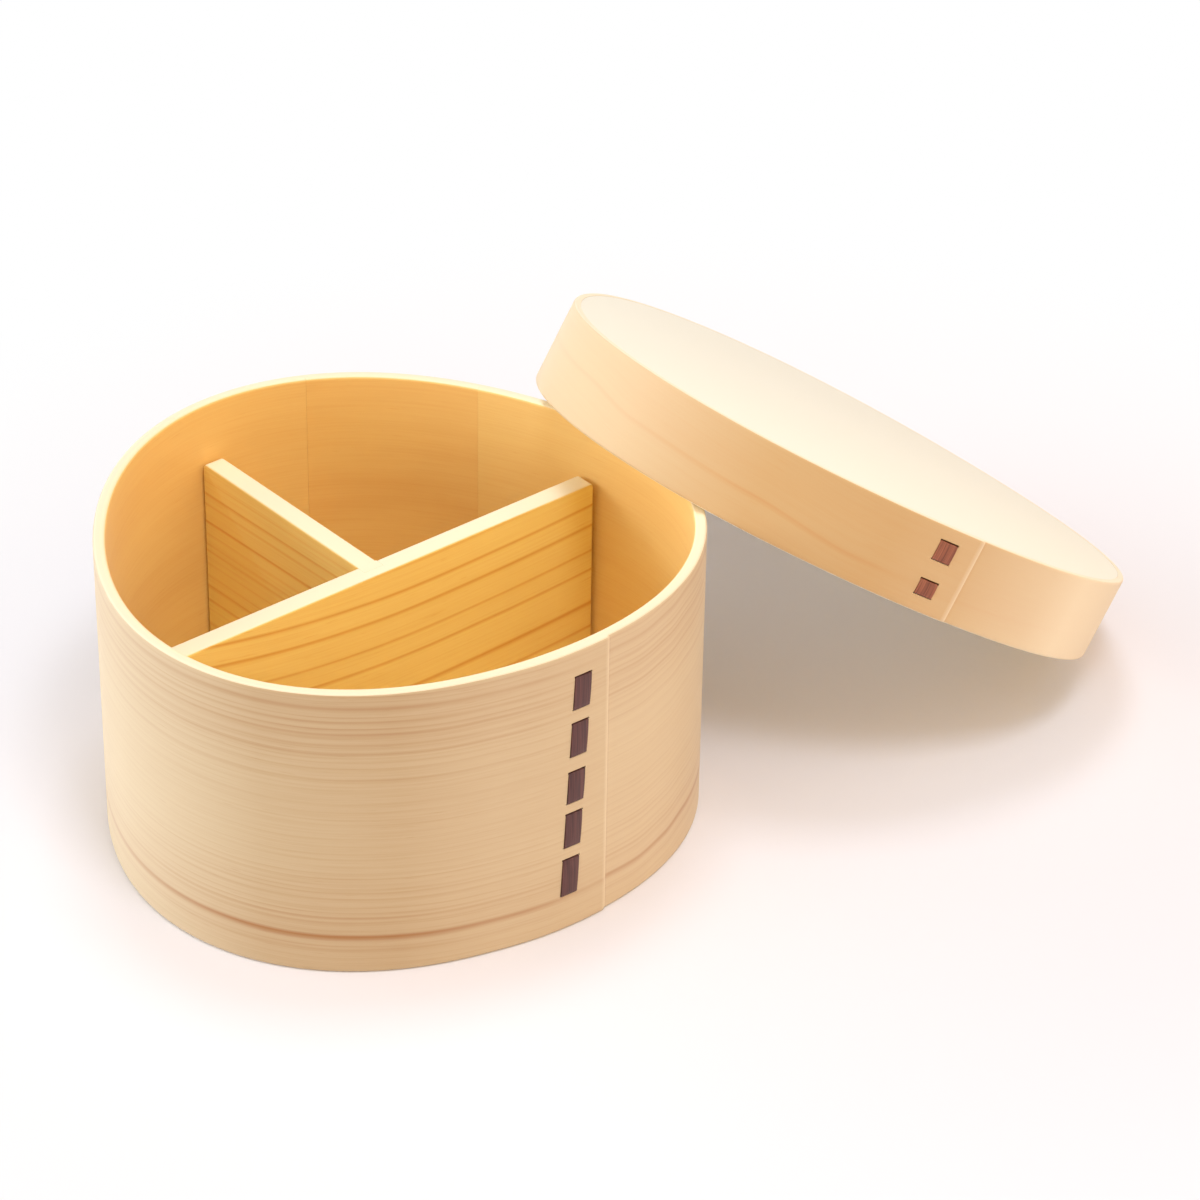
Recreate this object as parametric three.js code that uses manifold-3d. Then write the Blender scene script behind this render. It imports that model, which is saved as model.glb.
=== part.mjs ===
// A bentwood lunch box: a three-cornered band of thin wood with a base board, a lidded top and a loose divider.
// Units are millimetres and +Z is up. The origin is the middle of the box's underside, and +X points
// at one of the three rounded corners of the plan.

import * as THREE from 'three';
import { mergeVertices } from 'three/addons/utils/BufferGeometryUtils.js';
import Module from 'manifold-3d';

const wasm = await Module();
wasm.setup();

// Plan of the wall, shared by box and lid: a circle drawn out into three soft corners
const boxMeanRadius = 65.8;
const cornerShare = 0.04;
const cornerCount = 3;

// Box
const boxHeight = 70;
const boxOuterPly = 1.5;
const boxInnerPly = 1.2;
const baseThickness = 4;

// Lid, which fits over the outside of the box
const lidHeight = 20.1;
const lidClearance = 1.8;
const lidOuterPly = 1.6;
const lidInnerPly = 1.4;
const lidBoardThickness = 3;

// Lap where the two ends of an outer ply are glued one over the other
const lapStep = 0.5;
const lapFlat = 13;
const lapTaper = 22;
const lapBevel = 0.8;
const boxSeamAngle = radians(314.3);
const lidSeamAngle = radians(306.3);

// Butt joints of the inner plies, and the strip that closes the box's own
const buttGap = 0.3;
const closingStripStart = radians(69.3);
const closingStripEnd = radians(105.3);
const lidButtAngle = radians(125);

// Bark strip that laces each lap through slits in the outer ply. The stitches are hand made, so no two are
// the same. Their lengths and the spaces between them are shares of the band's height, from the top down.
const boxBarkWidth = 4.2;
const lidBarkWidth = 4.5;
const barkThickness = 0.5;
const barkProud = 0.2;
const barkCrown = 0.1;
const barkBend = 0.3;
const barkGap = 0.3;
const barkTail = 2.2;
const boxStitchInsetShare = 0.093;
const boxStitchShares = [0.113, 0.116, 0.109, 0.119, 0.13];
const boxStitchSpaceShares = [0.05, 0.057, 0.04, 0.046];
const boxSeamToLace = 9.3;
const boxLaceLean = radians(3.3);
const lidStitchInsetShare = 0.169;
const lidStitchShares = [0.224, 0.174];
const lidStitchSpaceShares = [0.244];
const lidSeamToLace = 8.3;

// Divider: a long board, and a short board housed in its side
const dividerThickness = 5;
const dividerHeight = 51.5;
const dividerDirection = radians(36.8);
const longBoardOffset = 5.4;
const dividerEndClearance = 0.4;
const housingDepth = 2.5;
const housingGap = 0.2;
const dividerCornerRadius = 1.5;
const dividerEase = 0.6;

// How the lid leans: one edge on the surface, the raised end across the rim
const lidLeanDirection = radians(32.6);
const lidSpin = radians(-16.75);
const lidSideShift = -3.3;
const lidOverhang = 15;
const rimGap = 0.3;

// Small values that several pieces share
const seatGap = 0.3;
const edgeEase = 0.4;
const overrun = 1;
const planSteps = 120;
const tinyAngle = radians(0.6);

const boxWall = boxOuterPly + boxInnerPly;
const lidWall = lidOuterPly + lidInnerPly;
const up = new THREE.Vector3(0, 0, 1);

const paleWood = { color: 0xe6c99d, roughness: 0.6 };
const warmWood = { color: 0xe8a95c, roughness: 0.65 };
const boardWood = { color: 0xf3dfb8, roughness: 0.6 };
const dividerWood = { color: 0xf0b968, roughness: 0.6 };
const bark = { color: 0x4b2a28, roughness: 0.45 };

function radians(degrees) {
  return THREE.MathUtils.degToRad(degrees);
}

// The plan's outline and its outward normal

function outlineNormal(angle) {
  const radius = 1 + cornerShare * Math.cos(cornerCount * angle);
  const slope = -cornerShare * cornerCount * Math.sin(cornerCount * angle);
  const alongX = slope * Math.cos(angle) - radius * Math.sin(angle);
  const alongY = slope * Math.sin(angle) + radius * Math.cos(angle);
  return new THREE.Vector3(alongY, -alongX, 0).normalize();
}

function outlinePoint(angle, offset, z) {
  const radius = boxMeanRadius * (1 + cornerShare * Math.cos(cornerCount * angle));
  const point = new THREE.Vector3(radius * Math.cos(angle), radius * Math.sin(angle), z);
  return point.addScaledVector(outlineNormal(angle), offset);
}

// How far the lap lifts the outer surface: it swells towards the seam and ends there in a bevel

function lapLift(angle, seamAngle) {
  const turn = THREE.MathUtils.euclideanModulo(seamAngle - angle, 2 * Math.PI);
  const distance = turn * boxMeanRadius;
  if (distance < lapBevel) {
    return lapStep * distance / lapBevel;
  }
  return lapStep * (1 - THREE.MathUtils.smoothstep(distance, lapFlat, lapFlat + lapTaper));
}

// Angles at which a band is cut into facets: evenly spaced, plus the places where its shape changes

function bandAngles(seamAngle, extraAngles) {
  const lapDistances = [0, lapBevel, lapFlat, lapFlat + lapTaper];
  const special = lapDistances.map((distance) => seamAngle - distance / boxMeanRadius).concat(extraAngles);
  const even = Array.from({ length: planSteps }, (_, step) => 2 * Math.PI * step / planSteps);
  const isFree = (angle) => special.every((other) => Math.abs(angle - other) > tinyAngle);
  return even.filter(isFree).concat(special).sort((a, b) => a - b);
}

// Solids

function solidFromGeometry(geometry) {
  const bare = geometry.clone();
  bare.deleteAttribute('normal');
  bare.deleteAttribute('uv');
  const merged = mergeVertices(bare.index ? bare.toNonIndexed() : bare);
  const vertProperties = new Float32Array(merged.attributes.position.array);
  const triVerts = new Uint32Array(merged.index.array);
  return new wasm.Manifold(new wasm.Mesh({ numProp: 3, vertProperties, triVerts }));
}

function geometryFromSolid(solid) {
  const mesh = solid.getMesh();
  const geometry = new THREE.BufferGeometry();
  geometry.setAttribute('position', new THREE.BufferAttribute(new Float32Array(mesh.vertProperties), 3));
  geometry.setIndex(new THREE.BufferAttribute(new Uint32Array(mesh.triVerts), 1));
  geometry.computeVertexNormals();
  return geometry;
}

function cutAway(geometry, cutter) {
  return geometryFromSolid(solidFromGeometry(geometry).subtract(solidFromGeometry(cutter)));
}

function part(name, geometry, look) {
  const mesh = new THREE.Mesh(geometry, new THREE.MeshStandardMaterial({ ...look, metalness: 0 }));
  mesh.name = name;
  return mesh;
}

// A strip of wood bent along the plan. section(angle) lists its corners as [offset, z], anticlockwise.

function bentStrip(angles, section, isClosed) {
  const rings = angles.map((angle) => section(angle).map(([offset, z]) => outlinePoint(angle, offset, z)));
  const corners = rings[0].length;
  const positions = rings.flat().flatMap((point) => point.toArray());
  const indices = [];
  const spans = isClosed ? rings.length : rings.length - 1;
  for (let span = 0; span < spans; span += 1) {
    const here = span * corners;
    const next = ((span + 1) % rings.length) * corners;
    for (let corner = 0; corner < corners; corner += 1) {
      const after = (corner + 1) % corners;
      indices.push(here + corner, next + corner, next + after);
      indices.push(here + corner, next + after, here + after);
    }
  }
  if (!isClosed) {
    const last = (rings.length - 1) * corners;
    for (let corner = 1; corner < corners - 1; corner += 1) {
      indices.push(0, corner, corner + 1);
      indices.push(last, last + corner + 1, last + corner);
    }
  }
  const geometry = new THREE.BufferGeometry();
  geometry.setAttribute('position', new THREE.BufferAttribute(new Float32Array(positions), 3));
  geometry.setIndex(indices);
  geometry.computeVertexNormals();
  return geometry;
}

// A flat board whose edge follows the plan

function planBoard(angles, offset, bottom, thickness) {
  const corners = angles.map((angle) => outlinePoint(angle, offset, 0));
  const shape = new THREE.Shape(corners.map((point) => new THREE.Vector2(point.x, point.y)));
  const geometry = new THREE.ExtrudeGeometry(shape, { depth: thickness, bevelEnabled: false });
  return geometry.translate(0, 0, bottom);
}

// Sections of the plies

function outerPlySection(outside, ply, bottom, top, seamAngle) {
  return (angle) => {
    const face = outside + lapLift(angle, seamAngle);
    return [
      [outside - ply, bottom],
      [face - edgeEase, bottom],
      [face, bottom + edgeEase],
      [face, top - edgeEase],
      [face - edgeEase, top],
      [outside - ply, top],
    ];
  };
}

function boxInnerSection() {
  return [
    [-boxWall, baseThickness],
    [-boxOuterPly, baseThickness],
    [-boxOuterPly, boxHeight],
    [edgeEase - boxWall, boxHeight],
    [-boxWall, boxHeight - edgeEase],
  ];
}

function lidInnerSection() {
  const top = lidHeight - lidBoardThickness;
  return [
    [lidClearance + edgeEase, 0],
    [lidClearance + lidInnerPly, 0],
    [lidClearance + lidInnerPly, top],
    [lidClearance, top],
    [lidClearance, edgeEase],
  ];
}

// Stitches of a band, each with the height of its top and its length, from the top down

function stitchColumn(height, insetShare, lengthShares, spaceShares) {
  let share = 1 - insetShare;
  return lengthShares.map((lengthShare, index) => {
    const stitch = { top: height * share, length: height * lengthShare };
    share -= lengthShare + (spaceShares[index] ?? 0);
    return stitch;
  });
}

// Bark lacing. A route is a list of [depth, z] points seen from the side of the wall, with depth outwards.

function laceRoute(stitches, inside) {
  const outside = barkProud - barkThickness / 2;
  const half = barkThickness / 2;
  const first = stitches[0];
  const last = stitches[stitches.length - 1];
  const route = [[inside, first.top - barkTail]];
  for (const stitch of stitches) {
    const high = stitch.top - half;
    const low = stitch.top - stitch.length + half;
    route.push([inside, high], [outside, high]);
    route.push([outside + barkCrown, (high + low) / 2]);
    route.push([outside, low], [inside, low]);
  }
  route.push([inside, last.top - last.length + barkTail]);
  return route.map(([depth, z]) => new THREE.Vector2(depth, z));
}

function softenBends(route) {
  const soft = [route[0]];
  for (let index = 1; index < route.length - 1; index += 1) {
    const before = route[index - 1].clone().sub(route[index]).setLength(barkBend);
    const after = route[index + 1].clone().sub(route[index]).setLength(barkBend);
    soft.push(route[index].clone().add(before), route[index].clone().add(after));
  }
  soft.push(route[route.length - 1]);
  return soft;
}

function stretchEnds(route, extra) {
  const longer = route.map((point) => point.clone());
  const count = longer.length;
  const startPull = longer[0].clone().sub(longer[1]).setLength(extra);
  const endPull = longer[count - 1].clone().sub(longer[count - 2]).setLength(extra);
  longer[0].add(startPull);
  longer[count - 1].add(endPull);
  return longer;
}

function routeSide(route, distance) {
  return route.map((point, index) => {
    const back = route[Math.max(index - 1, 0)];
    const ahead = route[Math.min(index + 1, route.length - 1)];
    const inward = index > 0 ? point.clone().sub(back).normalize() : ahead.clone().sub(point).normalize();
    const onward = index < route.length - 1 ? ahead.clone().sub(point).normalize() : inward;
    const miter = inward.clone().add(onward).normalize();
    const reach = distance / miter.dot(inward);
    return new THREE.Vector2(point.x - miter.y * reach, point.y + miter.x * reach);
  });
}

function laceSolid(route, barkWidth, clearance, place) {
  const bent = softenBends(stretchEnds(route, clearance));
  const half = barkThickness / 2 + clearance;
  const width = barkWidth + 2 * clearance;
  const edge = routeSide(bent, half).concat(routeSide(bent, -half).reverse());
  const geometry = new THREE.ExtrudeGeometry(new THREE.Shape(edge), { depth: width, bevelEnabled: false });
  geometry.translate(0, 0, -width / 2);
  return geometry.applyMatrix4(place);
}

// Places a lace on the wall at an angle, with its column leaning by lean as it climbs

function lacePlace(angle, offset, lean, middle) {
  const outward = outlineNormal(angle);
  const across = outward.clone().cross(up);
  const climb = up.clone().addScaledVector(across, -Math.tan(lean));
  const origin = outlinePoint(angle, offset, 0).addScaledVector(across, Math.tan(lean) * middle);
  return new THREE.Matrix4().makeBasis(outward, climb, across).setPosition(origin);
}

// Box

function makeBox() {
  const box = new THREE.Group();
  const halfGap = buttGap / (2 * boxMeanRadius);
  const stripStart = closingStripStart + halfGap;
  const stripEnd = closingStripEnd - halfGap;
  const bandStart = closingStripEnd + halfGap;
  const bandEnd = closingStripStart - halfGap + 2 * Math.PI;
  const angles = bandAngles(boxSeamAngle, [bandEnd - 2 * Math.PI, stripStart, stripEnd, bandStart]);
  const twoTurns = angles.concat(angles.map((angle) => angle + 2 * Math.PI));
  const between = (start, end) => twoTurns.filter((angle) => angle >= start && angle <= end);

  const stitches = stitchColumn(boxHeight, boxStitchInsetShare, boxStitchShares, boxStitchSpaceShares);
  const route = laceRoute(stitches, -boxOuterPly - lapStep);
  const laceAngle = boxSeamAngle - boxSeamToLace / boxMeanRadius;
  const place = lacePlace(laceAngle, lapStep, boxLaceLean, boxHeight / 2);
  const cutter = laceSolid(route, boxBarkWidth, barkGap, place);

  const outerSection = outerPlySection(0, boxOuterPly, 0, boxHeight, boxSeamAngle);
  const outer = bentStrip(angles, outerSection, true);
  const inner = bentStrip(between(bandStart, bandEnd), boxInnerSection, false);
  const closing = bentStrip(between(stripStart, stripEnd), boxInnerSection, false);
  box.add(part('box_outer_band', cutAway(outer, cutter), paleWood));
  box.add(part('box_inner_band', cutAway(inner, cutter), warmWood));
  box.add(part('box_inner_closing_strip', closing, warmWood));
  box.add(part('box_base_board', planBoard(angles, -boxOuterPly, 0, baseThickness), boardWood));
  box.add(part('box_bark_lacing', laceSolid(route, boxBarkWidth, 0, place), bark));
  return box;
}

// Lid, made with its skirt's lower edge at z = 0, then leaned against the box

function makeLid() {
  const lid = new THREE.Group();
  const outside = lidClearance + lidWall;
  const halfGap = buttGap / (2 * boxMeanRadius);
  const angles = bandAngles(lidSeamAngle, [lidButtAngle - halfGap, lidButtAngle + halfGap]);
  const twoTurns = angles.concat(angles.map((angle) => angle + 2 * Math.PI));
  const innerStart = lidButtAngle + halfGap;
  const innerEnd = lidButtAngle - halfGap + 2 * Math.PI;
  const innerAngles = twoTurns.filter((angle) => angle >= innerStart && angle <= innerEnd);

  const stitches = stitchColumn(lidHeight, lidStitchInsetShare, lidStitchShares, lidStitchSpaceShares);
  const route = laceRoute(stitches, -lidOuterPly - lapStep);
  const laceAngle = lidSeamAngle - lidSeamToLace / boxMeanRadius;
  const place = lacePlace(laceAngle, outside + lapStep, 0, 0);
  const cutter = laceSolid(route, lidBarkWidth, barkGap, place);

  const outer = bentStrip(angles, outerPlySection(outside, lidOuterPly, 0, lidHeight, lidSeamAngle), true);
  const inner = bentStrip(innerAngles, lidInnerSection, false);
  const boardBottom = lidHeight - lidBoardThickness;
  const board = planBoard(angles, lidClearance + lidInnerPly, boardBottom, lidBoardThickness);
  lid.add(part('lid_outer_band', cutAway(outer, cutter), paleWood));
  lid.add(part('lid_inner_band', cutAway(inner, cutter), warmWood));
  lid.add(part('lid_top_board', board, boardWood));
  lid.add(part('lid_bark_lacing', laceSolid(route, lidBarkWidth, 0, place), bark));
  leanLid(lid);
  return lid;
}

function lidFace(angle) {
  return lidClearance + lidWall + lapLift(angle, lidSeamAngle);
}

// The lean: for a given tilt the lid stands on its lowest point and reaches over the rim by lidOverhang

function lidPose(tilt) {
  const lean = new THREE.Vector3(Math.cos(lidLeanDirection), Math.sin(lidLeanDirection), 0);
  const side = up.clone().cross(lean);
  const turn = new THREE.Quaternion().setFromAxisAngle(side, tilt);
  turn.multiply(new THREE.Quaternion().setFromAxisAngle(up, lidSpin));
  const edge = bandAngles(lidSeamAngle, []).flatMap((angle) => {
    const face = lidFace(angle);
    const corners = [outlinePoint(angle, face - edgeEase, 0), outlinePoint(angle, face, edgeEase)];
    return corners.map((corner) => corner.applyQuaternion(turn));
  });
  const lowest = Math.min(...edge.map((point) => point.z));
  const reachBack = Math.max(...edge.map((point) => -point.dot(lean)));
  const boxReach = outlinePoint(lidLeanDirection, 0, 0).dot(lean);
  const position = lean.clone().multiplyScalar(boxReach - lidOverhang + reachBack);
  position.addScaledVector(side, lidSideShift);
  position.z = -lowest;
  return { turn, position };
}

// Where an edge line of the skirt passes over an edge line of the rim, its height there.
// Each line is a function that gives its offset from the plan at an angle.

function crossingHeights(pose, rimLine, skirtLine) {
  const axis = up.clone().applyQuaternion(pose.turn);
  const back = pose.turn.clone().invert();
  const lineAt = (line, step) => {
    const angle = 2 * Math.PI * step / planSteps;
    return outlinePoint(angle, line(angle), 0);
  };
  const skirt = Array.from({ length: planSteps }, (_, step) => lineAt(skirtLine, step));
  const heightOver = (point) => {
    const flat = point.clone().sub(pose.position);
    return pose.position.z - (flat.x * axis.x + flat.y * axis.y) / axis.z;
  };
  const outsideBy = (point) => {
    const raised = point.clone().setZ(heightOver(point));
    const local = raised.sub(pose.position).applyQuaternion(back);
    return convexDistance(skirt, local);
  };
  const heights = [];
  for (let step = 0; step < planSteps; step += 1) {
    const from = lineAt(rimLine, step);
    const to = lineAt(rimLine, step + 1);
    const fromBy = outsideBy(from);
    const toBy = outsideBy(to);
    if (fromBy * toBy < 0) {
      heights.push(heightOver(from.lerp(to, fromBy / (fromBy - toBy))));
    }
  }
  return heights;
}

// Distance of a point outside a convex outline, negative inside

function convexDistance(outline, point) {
  let farthest = -Infinity;
  outline.forEach((corner, index) => {
    const next = outline[(index + 1) % outline.length];
    const alongX = next.x - corner.x;
    const alongY = next.y - corner.y;
    const outward = (point.x - corner.x) * alongY - (point.y - corner.y) * alongX;
    farthest = Math.max(farthest, outward / Math.hypot(alongX, alongY));
  });
  return farthest;
}

function rimClearance(tilt) {
  const pose = lidPose(tilt);
  const rimLines = [(angle) => lapLift(angle, boxSeamAngle), () => -boxWall];
  const skirtLines = [lidFace, () => lidClearance];
  const heights = rimLines.flatMap((rimLine) => {
    return skirtLines.flatMap((skirtLine) => crossingHeights(pose, rimLine, skirtLine));
  });
  return Math.min(...heights) - boxHeight;
}

function leanLid(lid) {
  const halvings = 40;
  let low = radians(2);
  let high = radians(88);
  for (let step = 0; step < halvings; step += 1) {
    const middle = (low + high) / 2;
    if (rimClearance(middle) < rimGap) {
      low = middle;
    } else {
      high = middle;
    }
  }
  const pose = lidPose(high);
  lid.quaternion.copy(pose.turn);
  lid.position.copy(pose.position);
}

// Divider, drawn with its long board along X and then turned

function wallCrossing(direction, level) {
  const along = new THREE.Vector3(Math.cos(direction), Math.sin(direction), 0);
  const side = up.clone().cross(along);
  for (let step = 0; step < planSteps; step += 1) {
    const from = outlinePoint(direction + 2 * Math.PI * (step - planSteps / 2) / planSteps, -boxWall, 0);
    const to = outlinePoint(direction + 2 * Math.PI * (step + 1 - planSteps / 2) / planSteps, -boxWall, 0);
    const fromLevel = from.dot(side) - level;
    const toLevel = to.dot(side) - level;
    if (fromLevel < 0 && toLevel >= 0) {
      return from.lerp(to, fromLevel / (fromLevel - toLevel)).dot(along);
    }
  }
  return 0;
}

// A board standing on edge along X, with eased edges and rounded top corners, its middle at the origin

function standingBoard(length) {
  const halfLength = length / 2 - dividerEase;
  const bottom = dividerEase;
  const top = dividerHeight - dividerEase;
  const shape = new THREE.Shape();
  shape.moveTo(-halfLength, bottom);
  shape.lineTo(halfLength, bottom);
  shape.lineTo(halfLength, top - dividerCornerRadius);
  shape.absarc(halfLength - dividerCornerRadius, top - dividerCornerRadius, dividerCornerRadius, 0, Math.PI / 2);
  shape.absarc(dividerCornerRadius - halfLength, top - dividerCornerRadius, dividerCornerRadius, Math.PI / 2, Math.PI);
  shape.closePath();
  const geometry = new THREE.ExtrudeGeometry(shape, {
    depth: dividerThickness - 2 * dividerEase,
    bevelThickness: dividerEase,
    bevelSize: dividerEase,
    bevelSegments: 1,
    curveSegments: 4,
  });
  geometry.translate(0, 0, dividerEase - dividerThickness / 2);
  return geometry.rotateX(Math.PI / 2);
}

function makeDivider() {
  const divider = new THREE.Group();
  const half = dividerThickness / 2;
  const quarterTurn = Math.PI / 2;
  const longReaches = [longBoardOffset - half, longBoardOffset + half].flatMap((level) => {
    return [wallCrossing(dividerDirection, level), wallCrossing(dividerDirection + Math.PI, -level)];
  });
  const longHalf = Math.min(...longReaches) - dividerEndClearance;
  const shortReaches = [-half, half].map((level) => wallCrossing(dividerDirection + quarterTurn, level));
  const shortEnd = Math.min(...shortReaches) - dividerEndClearance;
  const shortStart = longBoardOffset + half - housingDepth + housingGap;

  const housing = new THREE.BoxGeometry(dividerThickness + 2 * housingGap, housingDepth + overrun,
    dividerHeight + 2 * overrun);
  housing.translate(0, half - housingDepth + (housingDepth + overrun) / 2, dividerHeight / 2);
  const longBoard = cutAway(standingBoard(2 * longHalf), housing);
  longBoard.translate(0, longBoardOffset, 0);
  const shortBoard = standingBoard(shortEnd - shortStart).rotateZ(quarterTurn);
  shortBoard.translate(0, (shortStart + shortEnd) / 2, 0);

  divider.add(part('divider_long_board', longBoard, dividerWood));
  divider.add(part('divider_short_board', shortBoard, dividerWood));
  divider.position.z = baseThickness + seatGap;
  divider.rotation.z = dividerDirection;
  return divider;
}

const lunchBox = new THREE.Group();
lunchBox.add(makeBox(), makeLid(), makeDivider());

export default lunchBox;
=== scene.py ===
# %% [markdown]
# # A bentwood lunch box
#
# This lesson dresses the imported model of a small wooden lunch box. On the real thing each wall is two
# thin plies bent round and glued, laced with a strip of bark where the outer one overlaps itself, and
# closed by a flat board. We build every piece anew in Blender, over the CAD piece that it stands for,
# then give each one wood that runs the way its fibres would.

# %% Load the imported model
import math
import bpy
from mathutils import Matrix, Vector


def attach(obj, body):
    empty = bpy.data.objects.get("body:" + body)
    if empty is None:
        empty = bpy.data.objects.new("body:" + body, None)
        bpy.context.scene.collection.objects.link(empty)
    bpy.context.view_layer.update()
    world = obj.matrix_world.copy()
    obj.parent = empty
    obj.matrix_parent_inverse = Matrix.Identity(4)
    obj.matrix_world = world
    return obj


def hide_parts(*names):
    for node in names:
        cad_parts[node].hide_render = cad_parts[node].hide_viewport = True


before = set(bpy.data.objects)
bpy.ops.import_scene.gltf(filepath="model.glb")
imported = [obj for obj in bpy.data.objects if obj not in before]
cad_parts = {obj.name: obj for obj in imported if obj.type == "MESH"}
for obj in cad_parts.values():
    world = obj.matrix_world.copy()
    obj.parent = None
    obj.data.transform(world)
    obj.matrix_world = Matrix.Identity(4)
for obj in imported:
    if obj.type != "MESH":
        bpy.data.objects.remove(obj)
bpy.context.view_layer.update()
bpy.ops.object.select_all(action='DESELECT')
print("CAD pieces:", sorted(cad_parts))

# %% [markdown]
# ## Sizes
#
# Every size is written once, in millimetres, and turned into metres where it is used. They are the sizes
# of the CAD pieces, so what we make here lands exactly on them.

# %% Sizes
MM = 0.001
MEAN_RADIUS = 65.8
CORNERS = 3
CORNER_SHARE = 0.04
BOX_HEIGHT = 70
OUTER_PLY = 1.5
INNER_PLY = 1.2
BASE_THICKNESS = 4
LID_HEIGHT = 20.1
LID_CLEARANCE = 1.8
LID_OUTER_PLY = 1.6
LID_INNER_PLY = 1.4
LID_BOARD = 3
BOX_WALL = OUTER_PLY + INNER_PLY
LID_WALL = LID_OUTER_PLY + LID_INNER_PLY
LID_FACE = LID_CLEARANCE + LID_WALL
BOX_SEAM = math.radians(314.3)
LID_SEAM = math.radians(306.3)
LAP_STEP = 0.5
LAP_BEVEL = 0.8
LAP_FLAT = 13
LAP_TAPER = 22
ROUND = math.tau * MEAN_RADIUS
print("box", 2 * MEAN_RADIUS, "mm across and", BOX_HEIGHT, "mm high")

# %% [markdown]
# ## The plan
#
# The wall isn't quite round: it is a circle drawn out into three soft corners. One function gives a point
# of that outline, pushed outwards by an offset, and both the box and its lid are drawn with it. Another
# says how far the overlap of the band lifts its surface: it swells slowly, then steps down in a short
# bevel. The last lists the angles at which a band gets its corners.

# %% The plan
STATIONS = 360
NEAR_SHARE = 0.4


def swell(angle):
    return 1 + CORNER_SHARE * math.cos(CORNERS * angle)


def plan_point(angle, offset):
    slope = -CORNERS * CORNER_SHARE * math.sin(CORNERS * angle)
    normal = Vector((slope * math.sin(angle) + swell(angle) * math.cos(angle),
                     swell(angle) * math.sin(angle) - slope * math.cos(angle))).normalized()
    return Vector((math.cos(angle), math.sin(angle))) * MEAN_RADIUS * swell(angle) + normal * offset


def smooth_step(value, low, high):
    share = min(max((value - low) / (high - low), 0), 1)
    return share * share * (3 - 2 * share)


def lap_lift(angle, seam):
    distance = ((seam - angle) % math.tau) * MEAN_RADIUS
    if distance < LAP_BEVEL:
        return LAP_STEP * distance / LAP_BEVEL
    return LAP_STEP * (1 - smooth_step(distance, LAP_FLAT, LAP_FLAT + LAP_TAPER))


def stations(extra, start=0.0, end=math.tau):
    """Even angles round the plan, with the extra ones in place of any that lie close to them."""
    even = [math.tau * step / STATIONS for step in range(2 * STATIONS)]
    near = NEAR_SHARE * math.tau / STATIONS
    free = [angle for angle in even if all(abs((angle - other + math.pi) % math.tau - math.pi) > near
                                           for other in extra)]
    places = free + [angle % math.tau + turn for angle in extra for turn in (0, math.tau)]
    return sorted(angle for angle in places if start <= angle < end)


print("the outline runs from", round(plan_point(math.pi, 0).x, 1), "to", round(plan_point(0, 0).x, 1), "mm")

# %% [markdown]
# ## A few habits
#
# Operators act on whatever is selected, so each step starts by choosing one object alone, and faces or
# edges are then picked in code by where they lie. These helpers are the few moves that every piece
# repeats: choose it, edit it step by step, apply a modifier, ease its arrises, smooth it, cut it.

# %% Helpers for selecting and finishing
def choose(piece):
    bpy.ops.object.select_all(action='DESELECT')
    piece.select_set(True)
    bpy.context.view_layer.objects.active = piece


def named(name):
    """The object that an operator has just made, with its name."""
    piece = bpy.context.object
    piece.name = piece.data.name = name
    return piece


def edit(piece, *steps):
    choose(piece)
    bpy.ops.object.mode_set(mode='EDIT')
    for step in steps:
        step()
    bpy.ops.object.mode_set(mode='OBJECT')


def add_modifier(piece, kind, **settings):
    modifier = piece.modifiers.new(kind.title(), kind)
    for name, value in settings.items():
        setattr(modifier, name, value)
    choose(piece)
    bpy.ops.object.modifier_apply(modifier=modifier.name)


def ease(piece, width, segments, degrees=40):
    """Rounds every arris that turns by more than so many degrees."""
    add_modifier(piece, 'BEVEL', width=width * MM, segments=segments, limit_method='ANGLE',
                 angle_limit=math.radians(degrees))


def smooth(piece, degrees=35):
    choose(piece)
    bpy.ops.object.shade_smooth_by_angle(angle=math.radians(degrees))


def cut_with(piece, cutter, operation='DIFFERENCE'):
    add_modifier(piece, 'BOOLEAN', operation=operation, solver='EXACT', object=cutter)
    bpy.data.objects.remove(cutter)


def block(middle, size):
    """A plain block, in millimetres, with its turn and size applied."""
    bpy.ops.mesh.primitive_cube_add(size=1, location=[value * MM for value in middle],
                                    scale=[value * MM for value in size])
    bpy.ops.object.transform_apply(location=True, rotation=True, scale=True)
    return bpy.context.object


print("helpers ready")

# %% Steps in edit mode
def select_all():
    bpy.ops.mesh.select_all(action='SELECT')


def face_outwards():
    bpy.ops.mesh.normals_make_consistent(inside=False)


def extrude_up(height):
    """A step that draws what is selected straight up, leaving walls behind it."""
    return lambda: bpy.ops.mesh.extrude_region_move(TRANSFORM_OT_translate={"value": (0, 0, height * MM)})


def select_edges(piece, wanted):
    """Selects the edges that wanted accepts, and nothing else: a new primitive comes selected all over."""
    mesh = piece.data
    for item in (*mesh.vertices, *mesh.edges, *mesh.polygons):
        item.select = False
    for line in mesh.edges:
        line.select = wanted(line)


print("steps ready")

# %% [markdown]
# ## Bending a strip
#
# A maker steams a thin strip and bends it round a former. We could bend one with a Simple Deform
# modifier, but that only gives arcs of a circle. Instead we start from a circle primitive, extrude it once
# for each corner of the strip's section, and set each new ring on the plan. Extruding one last time back
# onto the first ring and merging the two closes the section, and filling the ends closes an open strip.

# %% Bend a strip round the plan
MERGE_WITHIN = 1e-6
ARC_STEPS = 4
SUPPORT = 0.3


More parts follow.
